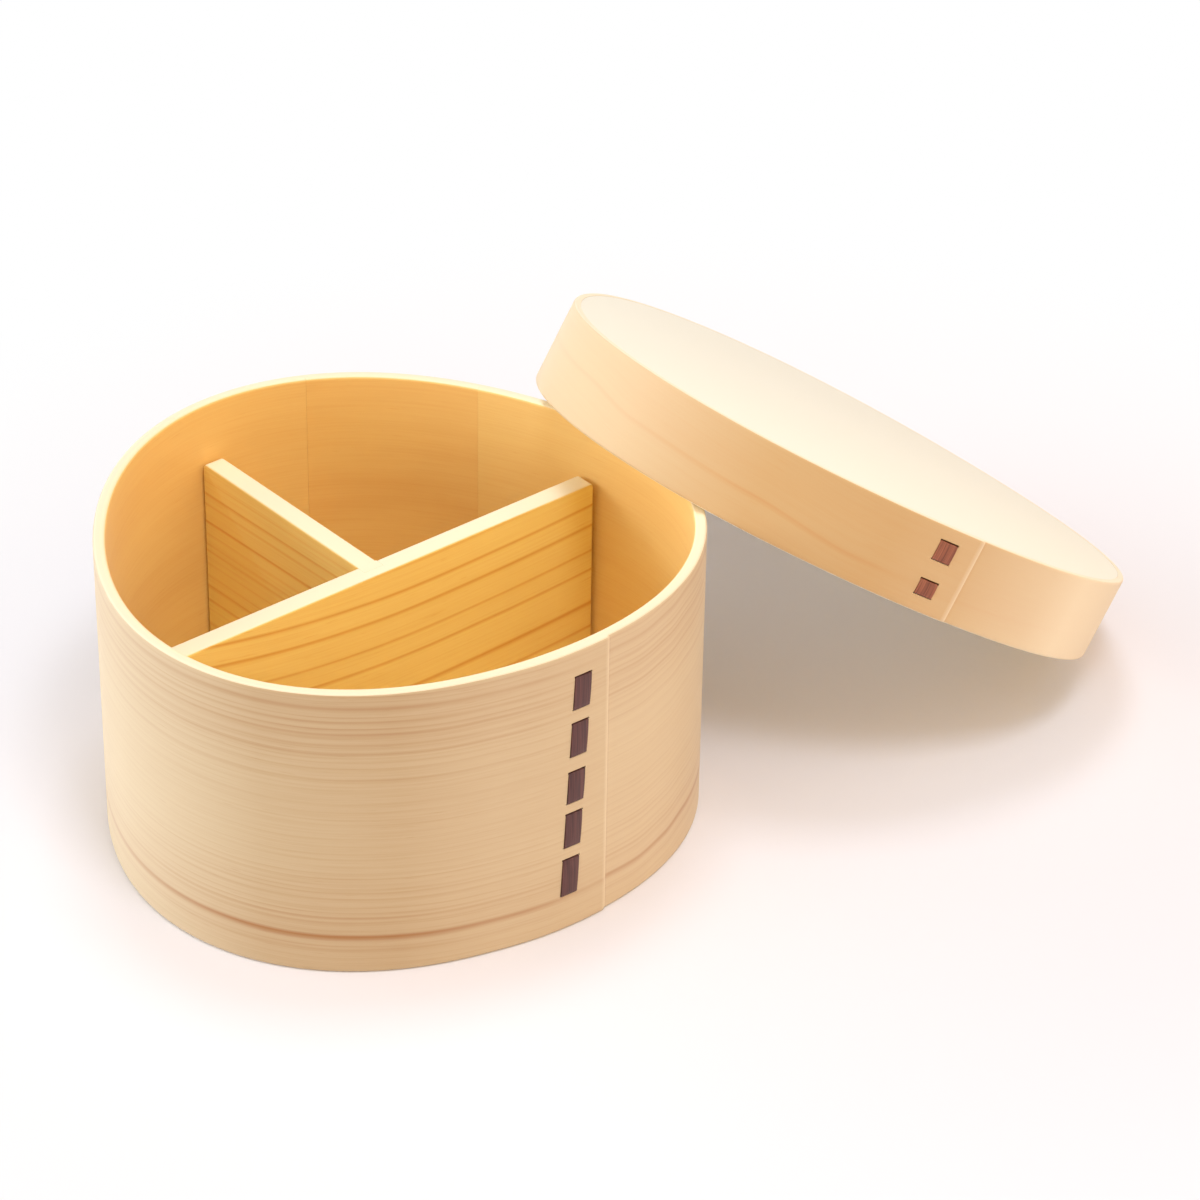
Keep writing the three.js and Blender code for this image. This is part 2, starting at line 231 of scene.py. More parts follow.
def bend_strip(name, angles, section, is_open=False):
    bpy.ops.mesh.primitive_circle_add(vertices=len(angles), radius=MEAN_RADIUS * MM)
    strip = named(name)
    if is_open:
        select_edges(strip, lambda line: set(line.vertices) == {0, len(angles) - 1})
        edit(strip, lambda: bpy.ops.mesh.delete(type='EDGE_FACE'))
    rings = len(section(angles[0])) + 1
    edit(strip, select_all, *[extrude_up(1)] * (rings - 1))
    for ring in range(rings):
        for place, angle in enumerate(angles):
            offset, height = section(angle)[ring % (rings - 1)]
            corner = plan_point(angle, offset)
            strip.data.vertices[ring * len(angles) + place].co = Vector((*corner, height)) * MM
    edit(strip, select_all, lambda: bpy.ops.mesh.remove_doubles(threshold=MERGE_WITHIN),
         lambda: bpy.ops.mesh.fill_holes(sides=0) if is_open else None, face_outwards)
    return strip


def rounded(offset, height, radius, turn):
    """Corner points rounded from one quarter turn to the next, with a support either side."""
    side = Vector((math.cos(turn), math.sin(turn)))
    ahead = Vector((-side.y, side.x))
    centre = Vector((offset, height)) - (side + ahead) * radius
    arc = [centre + side * radius * math.cos(step * math.pi / 2 / ARC_STEPS)
           + ahead * radius * math.sin(step * math.pi / 2 / ARC_STEPS) for step in range(ARC_STEPS + 1)]
    return [tuple(point) for point in (arc[0] - ahead * SUPPORT, *arc, arc[-1] - side * SUPPORT)]


print("a rounded corner has", len(rounded(0, 0, 0.5, 0)), "points")

# %% [markdown]
# ## The outer band of the box
#
# The outer ply is the pale band that shows on the outside. Its section is a tall thin rectangle whose
# outer arrises are sanded round. Because each ring takes its offset from a function of the angle, the
# overlap can swell and step down without any extra modelling.

# %% The outer band of the box
ARRIS = 0.6


def outer_ply(name, face, ply, height, seam):
    """A closed band whose surface swells and steps down at the seam."""
    def section(angle):
        outside = face + lap_lift(angle, seam)
        return [(face - ply, 0), *rounded(outside, 0, ARRIS, -math.pi / 2),
                *rounded(outside, height, ARRIS, 0), (face - ply, height)]
    return bend_strip(name, stations([seam, seam - LAP_BEVEL / MEAN_RADIUS]), section)


outer_band = outer_ply("bent_outer_ply", 0, OUTER_PLY, BOX_HEIGHT, BOX_SEAM)
print("outer band:", len(outer_band.data.polygons), "faces, size mm",
      [round(side / MM, 1) for side in outer_band.dimensions])

# %% [markdown]
# ## The bark strip
#
# Cherry bark is peeled in a strip, threaded in and out through slits in the overlap and pulled flat. We
# start from a small plane the size of the strip's cross-section and extrude it once per bend, then set
# each new end on a mitred route, as a joiner would lay out a folded strip. The same route drawn fatter is
# the cutter that makes the slits, so that strip and slits always agree.

# %% Route of a bark strip
BOX_BARK = 4.2
LID_BARK = 4.5
BARK_THICKNESS = 0.5
BARK_PROUD = 0.2
BARK_CROWN = 0.12
BARK_BOW = ((0.12, 0.45), (0.3, 0.9), (0.5, 1), (0.7, 0.9), (0.88, 0.45))
BARK_GAP = 0.08
BARK_TAIL = 2.2
BARK_EASE = 0.12


def bark_route(stitches, inside):
    """Points (depth, height) of the strip's middle, in and out through the band, from the top down."""
    outside = BARK_PROUD - BARK_THICKNESS / 2
    half = BARK_THICKNESS / 2
    route = [(inside, stitches[0][0] - BARK_TAIL)]
    for top, length in stitches:
        high = top - half
        low = top - length + half
        route += [(inside, high), (outside, high)]
        route += [(outside + BARK_CROWN * bow, high + (low - high) * share) for share, bow in BARK_BOW]
        route += [(outside, low), (inside, low)]
    last_top, last_length = stitches[-1]
    return [Vector(point) for point in route + [(inside, last_top - last_length + BARK_TAIL)]]


def mitred(route, distance):
    line = []
    for place, point in enumerate(route):
        back = (point - route[max(place - 1, 0)]) if place else (route[1] - point)
        ahead = (route[place + 1] - point) if place < len(route) - 1 else back
        back, ahead = back.normalized(), ahead.normalized()
        miter = (back + ahead).normalized()
        line.append(point + Vector((-miter.y, miter.x)) * distance / miter.dot(back))
    return line


def stitch_column(height, inset, lengths, spaces):
    """Top and length of each stitch from the top down. They are cut by hand, so no two are the same."""
    share, column = 1 - inset, []
    for length, space in zip(lengths, [*spaces, 0]):
        column.append((share * height, length * height))
        share -= length + space
    return column


box_stitches = stitch_column(BOX_HEIGHT, 0.093, [0.113, 0.116, 0.109, 0.119, 0.13],
                             [0.05, 0.057, 0.04, 0.046])
lid_stitches = stitch_column(LID_HEIGHT, 0.169, [0.224, 0.174], [0.244])
print("box stitches, top and length:", [(round(top, 1), round(length, 1)) for top, length in box_stitches])

# %% Sweep a strip along a route
BOX_LACE_BACK = 9.3
BOX_LACE_LEAN = math.radians(3.3)


def sweep_strip(name, route, width, thickness, place):
    bpy.ops.mesh.primitive_plane_add(size=MM)
    strip = named(name)
    near, far = mitred(route, thickness / 2), mitred(route, -thickness / 2)
    edit(strip, select_all, *[extrude_up(1)] * (len(route) - 1))
    for index, vertex in enumerate(strip.data.vertices):
        ring, corner = divmod(index, 4)
        side = near[ring] if corner in (0, 1) else far[ring]
        across = width / 2 if corner in (0, 2) else -width / 2
        vertex.co = place @ (Vector((side.x, side.y, across)) * MM)
    edit(strip, select_all, face_outwards)
    return strip


def on_the_wall(angle, offset, lean, middle):
    """Where depth, height and width of a strip point, for a strip at that angle of the wall."""
    outward = (plan_point(angle, 1) - plan_point(angle, 0)).to_3d()
    across = outward.cross(Vector((0, 0, 1)))
    climb = Vector((0, 0, 1)) - across * math.tan(lean)
    origin = plan_point(angle, offset).to_3d() + across * math.tan(lean) * middle
    place = Matrix((outward, climb, across)).transposed().to_4x4()
    place.translation = origin * MM
    return place


box_route = bark_route(box_stitches, -OUTER_PLY - LAP_STEP)
box_lace_place = on_the_wall(BOX_SEAM - BOX_LACE_BACK / MEAN_RADIUS, LAP_STEP, BOX_LACE_LEAN, BOX_HEIGHT / 2)
box_lace = sweep_strip("bark_strip", box_route, BOX_BARK, BARK_THICKNESS, box_lace_place)
print("bark strip:", len(box_lace.data.vertices), "corners before its edges are softened")

# %% Cut the slits and soften the strip
KNIFE_OVER_BARK = 0.2
KNIFE_PAST_TOP = 0.35
KNIFE_PAST_FOOT = 0.18
KNIFE_PAST_SIDES = 0.4
KNIFE_DEPTH = 1.9
KNIFE_MIDDLE = -0.25


def bed(band, route, width, place):
    """Lets the strip into a band, with a hair of room all round."""
    fat = [point.copy() for point in route]
    fat[0] += (route[0] - route[1]).normalized() * BARK_GAP
    fat[-1] += (route[-1] - route[-2]).normalized() * BARK_GAP
    cutter = sweep_strip("slit_cutter", fat, width + 2 * BARK_GAP, BARK_THICKNESS + 2 * BARK_GAP, place)
    cut_with(band, cutter)


def slits(band, stitches, width, place):
    """The knife cuts a little past the bark at both ends of a stitch, and more above it than below."""
    bpy.ops.object.select_all(action='DESELECT')
    blocks = []
    for top, length in stitches:
        foot = top - length
        for low, high in ((top - KNIFE_OVER_BARK, top + KNIFE_PAST_TOP),
                          (foot - KNIFE_PAST_FOOT, foot + KNIFE_OVER_BARK)):
            blocks.append(block((KNIFE_MIDDLE, (low + high) / 2, 0),
                                (KNIFE_DEPTH, high - low, width + KNIFE_PAST_SIDES)))
            blocks[-1].data.transform(place)
    for cut in blocks:
        cut.select_set(True)
    bpy.ops.object.join()
    cut_with(band, bpy.context.object)


def let_in(lace, band, route, stitches, width, place):
    """Threads a strip through the band that shows it, and softens both."""
    bed(band, route, width, place)
    slits(band, stitches, width, place)
    ease(lace, BARK_EASE, 2)
    smooth(band)
    smooth(lace, 50)


let_in(box_lace, outer_band, box_route, box_stitches, BOX_BARK, box_lace_place)
print("outer band after the slits:", len(outer_band.data.polygons), "faces")

# %% [markdown]
# ## The inner ply and its closing strip
#
# Inside, a second ply is bent to fit the first. Its ends don't overlap: a short strip fills what is left,
# and two fine joints show on the back wall. Both pieces stop on the base board, and the long ply shares the
# outer ply's slits.

# %% The inner ply and its closing strip
CLOSING_START = math.radians(69.3)
CLOSING_END = math.radians(105.3)
HALF_GAP = 0.018 / MEAN_RADIUS
HAIR = 1e-6


def inner_ply(name, start, end, low, high, bottom, top, arris_top):
    """An open strip, its free arris rounded: at the rim of the box, or at the foot of the lid."""
    corners = [(high, bottom), (high, top)]
    if arris_top:
        corners += [*rounded(low, top, ARRIS, math.pi / 2), (low, bottom)]
    else:
        corners += [(low, top), *rounded(low, bottom, ARRIS, math.pi)]
    angles = [start, *stations([start, end], start + HAIR, end - HAIR), end]
    return bend_strip(name, angles, lambda angle: corners, True)


box_inside = (-BOX_WALL, -OUTER_PLY, BASE_THICKNESS, BOX_HEIGHT, True)
inner_band = inner_ply("bent_inner_ply", CLOSING_END + HALF_GAP, CLOSING_START - HALF_GAP + math.tau,
                       *box_inside)
bed(inner_band, box_route, BOX_BARK, box_lace_place)
closing_strip = inner_ply("closing_ply", CLOSING_START + HALF_GAP, CLOSING_END - HALF_GAP, *box_inside)
for piece in (inner_band, closing_strip):
    smooth(piece)
print("closing strip spans", round(math.degrees(CLOSING_END - CLOSING_START), 1), "degrees of the back wall")

# %% [markdown]
# ## The two boards
#
# The base and the top of the lid are flat boards sawn to the plan. A filled circle is set on the plan and
# extruded to its thickness. A board's edge is hidden in the band, so its arrises are eased only a little.

# %% Boards cut to the plan
BASE_EASE = 0.15
LID_BOARD_EASE = 0.12


def plan_board(name, offset, bottom, thickness, arris):
    angles = stations([])
    bpy.ops.mesh.primitive_circle_add(vertices=len(angles), radius=MEAN_RADIUS * MM, fill_type='NGON')
    board = named(name)
    for vertex, angle in zip(board.data.vertices, angles):
        vertex.co = Vector((*plan_point(angle, offset), bottom)) * MM
    edit(board, select_all, extrude_up(thickness), select_all, face_outwards)
    ease(board, arris, 2, 30)
    smooth(board)
    return board


base_board = plan_board("base_panel", -OUTER_PLY, 0, BASE_THICKNESS, BASE_EASE)
print("base board:", [round(side / MM, 1) for side in base_board.dimensions], "mm")

# %% [markdown]
# ## The lid
#
# The lid is made flat on the table, as the box is, and only then leaned against it. Its outer ply has its
# own overlap and two short stitches, and its board sits on the inner ply, flush with the outer one.

# %% The lid, lying flat
LID_BUTT = math.radians(125)
LID_REST = LID_HEIGHT - LID_BOARD
lid_outer = outer_ply("lid_bent_outer_ply", LID_FACE, LID_OUTER_PLY, LID_HEIGHT, LID_SEAM)
lid_inner = inner_ply("lid_bent_inner_ply", LID_BUTT + HALF_GAP, LID_BUTT - HALF_GAP + math.tau,
                      LID_CLEARANCE, LID_CLEARANCE + LID_INNER_PLY, 0, LID_REST, False)
lid_board = plan_board("lid_panel", LID_CLEARANCE + LID_INNER_PLY, LID_REST, LID_BOARD, LID_BOARD_EASE)
print("lid outside:", [round(side / MM, 1) for side in lid_outer.dimensions], "mm")

# %% Its bark strip
LID_LACE_BACK = 8.3
lid_route = bark_route(lid_stitches, -LID_OUTER_PLY - LAP_STEP)
lid_lace_place = on_the_wall(LID_SEAM - LID_LACE_BACK / MEAN_RADIUS, LID_FACE + LAP_STEP, 0, 0)
lid_lace = sweep_strip("lid_bark_strip", lid_route, LID_BARK, BARK_THICKNESS, lid_lace_place)
let_in(lid_lace, lid_outer, lid_route, lid_stitches, LID_BARK, lid_lace_place)
bed(lid_inner, lid_route, LID_BARK, lid_lace_place)
smooth(lid_inner)
print("lid bands after the slits:", len(lid_outer.data.polygons), "and", len(lid_inner.data.polygons),
      "faces")

# %% [markdown]
# ## The divider
#
# Two boards stand on edge inside the box, and the shorter one is housed in the side of the longer. Each
# starts as a cube of the board's size. The ends' upper corners are rounded first, then a Bevel modifier
# softens every arris, and the housing is cut with a plain block. The boards' lengths are read off the CAD
# pieces.

# %% How far a CAD piece reaches
DIVIDER = math.radians(36.8)
DIVIDER_THICKNESS = 5
DIVIDER_EASE = 0.5
LONG_CORNER = 1.1
SHORT_CORNER = 1.5
CAD_HOUSING_GAP = 0.2
HOUSING_GAP = 0.03
CUT_ALONG = 10
CUT_HEIGHT = 60


def reach(node, direction):
    along = [vertex.co.dot(direction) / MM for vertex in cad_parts[node].data.vertices]
    return min(along), max(along)


length_way = Vector((math.cos(DIVIDER), math.sin(DIVIDER), 0))
side_way = Vector((-math.sin(DIVIDER), math.cos(DIVIDER), 0))
long_ends, long_sides = reach("divider_long_board", length_way), reach("divider_long_board", side_way)
short_ends, short_sides = reach("divider_short_board", side_way), reach("divider_short_board", length_way)
board_foot, board_top = reach("divider_long_board", Vector((0, 0, 1)))
board_middle = (board_foot + board_top) / 2
print("long board", [round(end, 1) for end in long_ends], "short board",
      [round(end, 1) for end in short_ends])

# %% Boards standing on edge
def standing_board(name, along, across, corner_radius):
    """A board between two ends along its length and two sides, in the divider's own axes."""
    block(((along[0] + along[1]) / 2, (across[0] + across[1]) / 2, board_middle),
          (along[1] - along[0], across[1] - across[0], board_top - board_foot))
    board = named(name)
    corner = board.data.vertices
    select_edges(board, lambda line: all(corner[end].co.z > board_middle * MM for end in line.vertices)
                 and abs(corner[line.vertices[0]].co.y - corner[line.vertices[1]].co.y) > MM)
    bpy.context.tool_settings.mesh_select_mode = (False, True, False)
    edit(board, lambda: bpy.ops.mesh.bevel(offset=corner_radius * MM, segments=5, affect='EDGES'))
    bpy.context.tool_settings.mesh_select_mode = (True, False, False)
    ease(board, DIVIDER_EASE, 4)
    return board


housed_end = short_ends[0] - CAD_HOUSING_GAP
housing_depth = long_sides[1] - housed_end
long_board = standing_board("divider_panel_long", long_ends, long_sides, LONG_CORNER)
short_board = standing_board("divider_panel_short", (housed_end + housing_depth / 2, short_ends[1]),
                             [-side for side in reversed(short_sides)], SHORT_CORNER)
cut_with(long_board, block((0, housed_end + CUT_ALONG / 2, board_middle),
                           (DIVIDER_THICKNESS + 2 * HOUSING_GAP, CUT_ALONG, CUT_HEIGHT)))
tongue = block((housed_end + HOUSING_GAP + housing_depth / 2, 0, board_middle),
               (housing_depth, DIVIDER_THICKNESS, board_top - board_foot))
cut_with(short_board, tongue, 'UNION')
for piece in (long_board, short_board):
    smooth(piece, 30)
print("boards stand from", round(board_foot, 1), "to", round(board_top, 1), "mm")

# %% [markdown]
# ## Which way the fibres run
#
# Wood shows its fibres along the strip it was split from, so a bent band needs its pattern to follow the
# bend. We store a small map on every face corner, an attribute called grain: along the fibres, across
# them, and through the thickness, in metres. On a band the first is the distance round from the overlap,
# so the two ends of the strip carry different grain, as they do on the real box. A second attribute marks
# the faces that look up or down, always paler than the sides: partly because rims and top edges are cut
# across and sanded, and partly as a painted highlight, the light that upturned faces and rounded arrises
# catch from above.

# %% Lay the grain
# How far up or down a face must look to be paler: sanded cut wood, and painted light from above.
SANDED_LIT_FROM, SANDED_LIT_FULL = 0.5, 0.97


def lay_grain(piece, grain_of):
    mesh = piece.data
    mesh.attributes.new("grain", 'FLOAT_VECTOR', 'CORNER')
    mesh.attributes.new("sanded_and_lit", 'FLOAT', 'CORNER')
    grain, sanded_and_lit = mesh.attributes["grain"], mesh.attributes["sanded_and_lit"]
    for face in mesh.polygons:
        middle = face.center / MM
        for loop in face.loop_indices:
            point = mesh.vertices[mesh.loops[loop].vertex_index].co / MM
            grain.data[loop].vector = grain_of(point, middle) * MM
            # The pale share is partly sanded wood and partly painted light on faces that look up or down.
            sanded_and_lit.data[loop].value = smooth_step(abs(face.normal.z), SANDED_LIT_FROM, SANDED_LIT_FULL)


def band_grain(seam):
    """Round a band from its seam. A corner takes its face's side of the seam, so no face spans it."""
    def grain_of(point, middle):
        angle = math.atan2(point.y, point.x)
        face_turn = (math.atan2(middle.y, middle.x) - seam) % math.tau
        turn = (angle - seam - face_turn + math.pi) % math.tau - math.pi + face_turn
        return Vector((turn * MEAN_RADIUS, point.z, point.xy.length - MEAN_RADIUS * swell(angle)))
    return grain_of


def board_grain(turn, slant=0.0, upright=False):
    """Straight boards: along is a direction in the plan; an upright board's grain may slant."""
    def grain_of(point, _):
        along = point.x * math.cos(turn) + point.y * math.sin(turn)
        across = point.y * math.cos(turn) - point.x * math.sin(turn)
        rise, depth = (point.z, across) if upright else (across, point.z)
        return Vector((along, rise + along * math.tan(slant), depth))
    return grain_of


def bark_grain(point, _):
    return Vector((point.z, point.x + point.y, 0))


grains = [((outer_band, inner_band, closing_strip), band_grain(BOX_SEAM)),
          ((lid_outer, lid_inner), band_grain(LID_SEAM)),
          ((base_board,), board_grain(0.2)), ((lid_board,), board_grain(0.1)),
          ((long_board,), board_grain(0, 0, True)),
          ((short_board,), board_grain(0, math.radians(1.6), True)), ((box_lace, lid_lace), bark_grain)]
for pieces, grain_of in grains:
    for piece in pieces:
        lay_grain(piece, grain_of)
print("grain laid on", sum(len(pieces) for pieces, _ in grains), "pieces")

# %% [markdown]
# ## Setting the pieces in place
#
# The box is already where it belongs. The divider is turned to its direction, the short board a further
# quarter turn. The lid is tilted about a level line and turned in its own plane. The tilt is read from
# the CAD lid's top, and its place by matching the two boards' boxes in the lid's own axes.

# %% Turn the divider
def set_in_place(piece, matrix):
    piece.data.transform(matrix)
    piece.data.update()


set_in_place(long_board, Matrix.Rotation(DIVIDER, 4, 'Z'))
set_in_place(short_board, Matrix.Rotation(DIVIDER + math.pi / 2, 4, 'Z'))

# %% Lean the lid
LID_SPIN = math.radians(-16.75)
cad_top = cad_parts["lid_top_board"].data
lid_axis = max((face for face in cad_top.polygons if face.normal.z > 0), key=lambda face: face.area).normal
tilt = lid_axis.angle(Vector((0, 0, 1)))
tilt_line = Vector((0, 0, 1)).cross(lid_axis).normalized()
lid_turn = Matrix.Rotation(tilt, 3, tilt_line) @ Matrix.Rotation(LID_SPIN, 3, 'Z')
unturned = [lid_turn.inverted() @ vertex.co for vertex in cad_top.vertices]
mine = [vertex.co for vertex in lid_board.data.vertices]
shift = Vector([(max(p[axis] for p in unturned) + min(p[axis] for p in unturned)
                 - max(p[axis] for p in mine) - min(p[axis] for p in mine)) / 2 for axis in range(3)])
lid_pose = lid_turn.to_4x4()
lid_pose.translation = lid_turn @ shift
for piece in (lid_outer, lid_inner, lid_board, lid_lace):
    set_in_place(piece, lid_pose)
print("lid tilts", round(math.degrees(tilt), 2), "degrees, its middle at",
      [round(value / MM, 2) for value in lid_pose.translation])

# %% [markdown]
# ## Shared effects
#
# Effects that several woods use are node groups with named inputs. The first makes straight growth lines:
# each ring darkens slowly and ends sharply, so a sawtooth of the distance across the grain is bent by slow
# noise and raised to a power. The second makes the fine fibres, long and thin streaks that are always
# there. The third finds the lap, where the tapered end of the strip shows pale, partly as cut wood and
# partly as a painted highlight on its bevel, and a fine dark line runs beside it, partly glue and partly
# painted shade under the step.

# %% A small kit for node groups
def new_group(name, numbers, results):
    """A group that takes the grain and some numbers and gives masks. Returns it with its two ends."""
    group = bpy.data.node_groups.new(name, 'ShaderNodeTree')
    group.interface.new_socket("Grain", in_out='INPUT', socket_type='NodeSocketVector')
    for labels, end in ((numbers, 'INPUT'), (results, 'OUTPUT')):
        for label in labels:
            group.interface.new_socket(label, in_out=end, socket_type='NodeSocketFloat')
    return group, group.nodes.new('NodeGroupInput').outputs, group.nodes.new('NodeGroupOutput')


def put(tree, kind, links=None, **settings):
    """Adds a node, sets its properties and links or fills its inputs by name or number."""
    node = tree.nodes.new('ShaderNode' + kind)
    for name, value in settings.items():
        setattr(node, name, value)
    for place, value in (links or {}).items():
        if isinstance(value, bpy.types.NodeSocket):
            tree.links.new(value, node.inputs[place])
        else:
            node.inputs[place].default_value = value
    return node


def give(group, out, *results):
    """Hands the results of a group out, in order."""
    for place, result in enumerate(results):
        group.links.new(result, out.inputs[place])
    print(group.name + ":", len(group.nodes), "nodes")


def empty_tree(owner):
    """The node tree of a new material or world, with nothing in it."""
    owner.use_nodes = True
    owner.node_tree.nodes.clear()
    return owner.node_tree


def paint(red, green, blue):
    """A colour as a painter reads it off a chart, 0 to 255, turned into Blender's linear values."""
    values = [part / 255 for part in (red, green, blue)]
    return tuple(v / 12.92 if v < 0.04045 else ((v + 0.055) / 1.055) ** 2.4 for v in values) + (1,)


print("pale wood is", [round(part, 2) for part in paint(240, 220, 185)])

# %% Sums and mixtures
def follow(kind, links, **settings):
    """Puts a node in the tree that the first socket among its links belongs to."""
    tree = next(value.id_data for value in links.values() if isinstance(value, bpy.types.NodeSocket))
    return put(tree, kind, links, **settings)


def math_node(operation, *values):
    return follow('Math', dict(enumerate(values)), operation=operation).outputs[0]


def sum_of(operation):
    return lambda first, second: math_node(operation, first, second)


plus, minus, times, over, larger = map(sum_of, ('ADD', 'SUBTRACT', 'MULTIPLY', 'DIVIDE', 'MAXIMUM'))


def mix_colours(share, first, second):
    return follow('Mix', {0: share, 6: first, 7: second}, data_type='RGBA').outputs[2]


def spread(value, low, high, start=0.0, end=1.0, **settings):
    """Turns a value between low and high into one between start and end, and holds it there."""
    return follow('MapRange', {"Value": value, "From Min": low, "From Max": high, "To Min": start,
                               "To Max": end}, **settings).outputs[0]


def parts_of(vector):
    return follow('SeparateXYZ', {0: vector}).outputs


def vector_of(*parts):
    return follow('CombineXYZ', dict(enumerate(parts))).outputs[0]


def long_noise(parts, fine_along, fine_across, third, detail=2.0, roughness=0.5):
    """Noise drawn out along the grain: how fine it is along and across, and what takes the third place."""
    space = vector_of(times(parts[0], fine_along), times(parts[1], fine_across), third)
    return follow('TexNoise', {"Vector": space, "Scale": 1.0, "Detail": detail,
                               "Roughness": roughness}).outputs["Fac"]


def noise_at(place, scale, detail=2.0):
    """Noise of a single number, here the count of the rings."""
    return follow('TexNoise', {"W": place, "Scale": scale, "Detail": detail},
                  noise_dimensions='1D').outputs["Fac"]


print("sums, mixtures and noises ready")

# %% Growth lines
WAVER_ALONG, WAVER_ACROSS = 9.0, 30.0
UNEVEN_PACE = 0.37
FIRST_RING = 40.0
RING_END = 0.9
RING_CHANGE = 3.7
WEAKEST_RING = 0.35
MIDDLING = (0.3, 0.7)
growth, given, out = new_group("Growth lines", ["Spacing", "Waver", "Sharpness", "Unevenness", "Seed"],
                               ["Lines"])
grain_parts = parts_of(given["Grain"])
bend = long_noise(grain_parts, WAVER_ALONG, WAVER_ACROSS, given["Seed"])
wavered = plus(grain_parts[1], times(minus(bend, 0.5), given["Waver"]))
rings = over(wavered, given["Spacing"])
uneven = noise_at(plus(times(rings, UNEVEN_PACE), given["Seed"]), 1.0, 1.0)
count = plus(rings, times(uneven, given["Unevenness"]))
saw = math_node('FRACT', plus(count, FIRST_RING))
ring = math_node('POWER', saw, given["Sharpness"])
ring_end = spread(saw, RING_END, 1.0, 1.0, 0.0)
own = noise_at(plus(math_node('FLOOR', count), given["Seed"]), RING_CHANGE)
strength = spread(own, *MIDDLING, WEAKEST_RING, 1.0)
give(growth, out, times(times(ring, ring_end), strength))

# %% Fibres
STREAK_ALONG, STREAK_DETAIL, STREAK_ROUGHNESS = 45.0, 3.0, 0.65
CLOUD_ALONG, CLOUD_ACROSS = 14.0, 60.0
FLECK_ALONG, FLECK_ACROSS = 160.0, 2200.0
FLECK_RANGE = (0.7, 0.8)
fibres, given, out = new_group("Fibres", ["Fineness", "Seed"], ["Streaks", "Clouds", "Flecks"])
grain_parts = parts_of(given["Grain"])
deep = plus(times(grain_parts[2], given["Fineness"]), given["Seed"])
streaks = long_noise(grain_parts, STREAK_ALONG, given["Fineness"], deep, STREAK_DETAIL, STREAK_ROUGHNESS)
clouds = long_noise(grain_parts, CLOUD_ALONG, CLOUD_ACROSS, given["Seed"])
specks = long_noise(grain_parts, FLECK_ALONG, FLECK_ACROSS, given["Seed"], 1.0)
give(fibres, out, streaks, clouds, spread(specks, *FLECK_RANGE))

# %% Marks of the lap
# Pale on the bevel, cut wood with a painted highlight; dark beside the seam, glue with painted shade.
PALE_LIT_FROM, PALE_LIT_FULL = ROUND - 2.2, ROUND - 0.3
GLUE_SHADE_FULL, GLUE_SHADE_END = 0.1, 0.5
lap_marks, given, out = new_group("Lap marks", [], ["Bevel", "Joint and shade"])
way_round = parts_of(given["Grain"])[0]
give(lap_marks, out, spread(way_round, PALE_LIT_FROM * MM, PALE_LIT_FULL * MM),
     spread(way_round, GLUE_SHADE_FULL * MM, GLUE_SHADE_END * MM, 1.0, 0.0))

# %% [markdown]
# ## A wood material
#
# Every wood here is the same recipe with its own values: a base colour, clouded a little, darkened along
# the growth lines and the fibres, and paler on faces that look up or down, partly where it was sanded
# across and partly as painted light from above. Roughness and a faint bump follow the same lines, because
# late wood is denser and stands a hair proud. Bold lines at given heights come from a ramp. Other ramps say
# how lively the figure is at each height, how far the lines drift on their way round, how much darker the
# wood is at each height, partly its own tone and partly painted shade, and where the strip turns towards
# its pale colour, partly its own tone and partly painted light.

# %% Small parts of the recipe
LINES_PER_RAMP = 8
UPPER_SHARE = 0.3
BOW_BLEND = 0.02


def ramp_of(value, points, interpolation='LINEAR'):
    """A curve through points (place from 0 to 1, value from 0 to 1)."""
    ramp = follow('ValToRGB', {"Fac": value})
    ramp.color_ramp.interpolation = interpolation
    stops = ramp.color_ramp.elements
    for stop, (place, level) in zip((stops[0], stops[1]), (points[0], points[-1])):
        stop.position = place
        stop.color = (level, level, level, 1)
    for place, level in points[1:-1]:
        stops.new(place).color = (level, level, level, 1)
    return ramp.outputs["Color"]


def bold_lines(grain, lines, tall):
    """Single lines (height in mm, strength, half width in mm), sharper on their upper side."""
    height = over(parts_of(grain)[1], tall * MM)
    mask = 0.0
    for first in range(0, len(lines), LINES_PER_RAMP):
        points = [(0, 0)]
        for level, strength, half in sorted(lines[first:first + LINES_PER_RAMP]):
            points += [((level - half) / tall, 0), ((level + half * UPPER_SHARE) / tall, strength),
                       ((level + half) / tall, 0)]
        mask = larger(mask, ramp_of(height, points + [(1, 0)]))
    return mask


def drifting(points, most=2.0):
    """Lines that climb and sink on their way round a band: (share of the way, mm)."""
    def shift(grain):
        along, across, depth = parts_of(grain)
        share = over(along, ROUND * MM)
        climb = ramp_of(share, [(place, 0.5 + value / most / 2) for place, value in points], 'EASE')
        drop = times(minus(climb, 0.5), -2 * most * MM)
        return vector_of(along, plus(across, drop), depth)
    return shift


def bowed(lowest, left, right):
    """Lines of a flat-sawn board, lowest at one place and rising either side by so much per metre squared."""
    def shift(grain):
        along, across, depth = parts_of(grain)
        away = minus(along, lowest * MM)
        rise = spread(away, -BOW_BLEND, BOW_BLEND, left, right)
        drop = times(rise, times(away, away))
        return vector_of(along, minus(across, drop), depth)
    return shift


print("ramps, bold lines and drift ready")

# %% The recipe for wood
RELIEF = 0.08
ROUGH_EARLY, ROUGH_LATE = 0.62, 0.52
WOOD_FINENESS = 2500.0
STREAK_RANGE, CLOUD_RANGE = (0.42, 0.68), (0.35, 0.65)
WOOD_BUMP = 0.3
LINE_RELIEF = 0.5
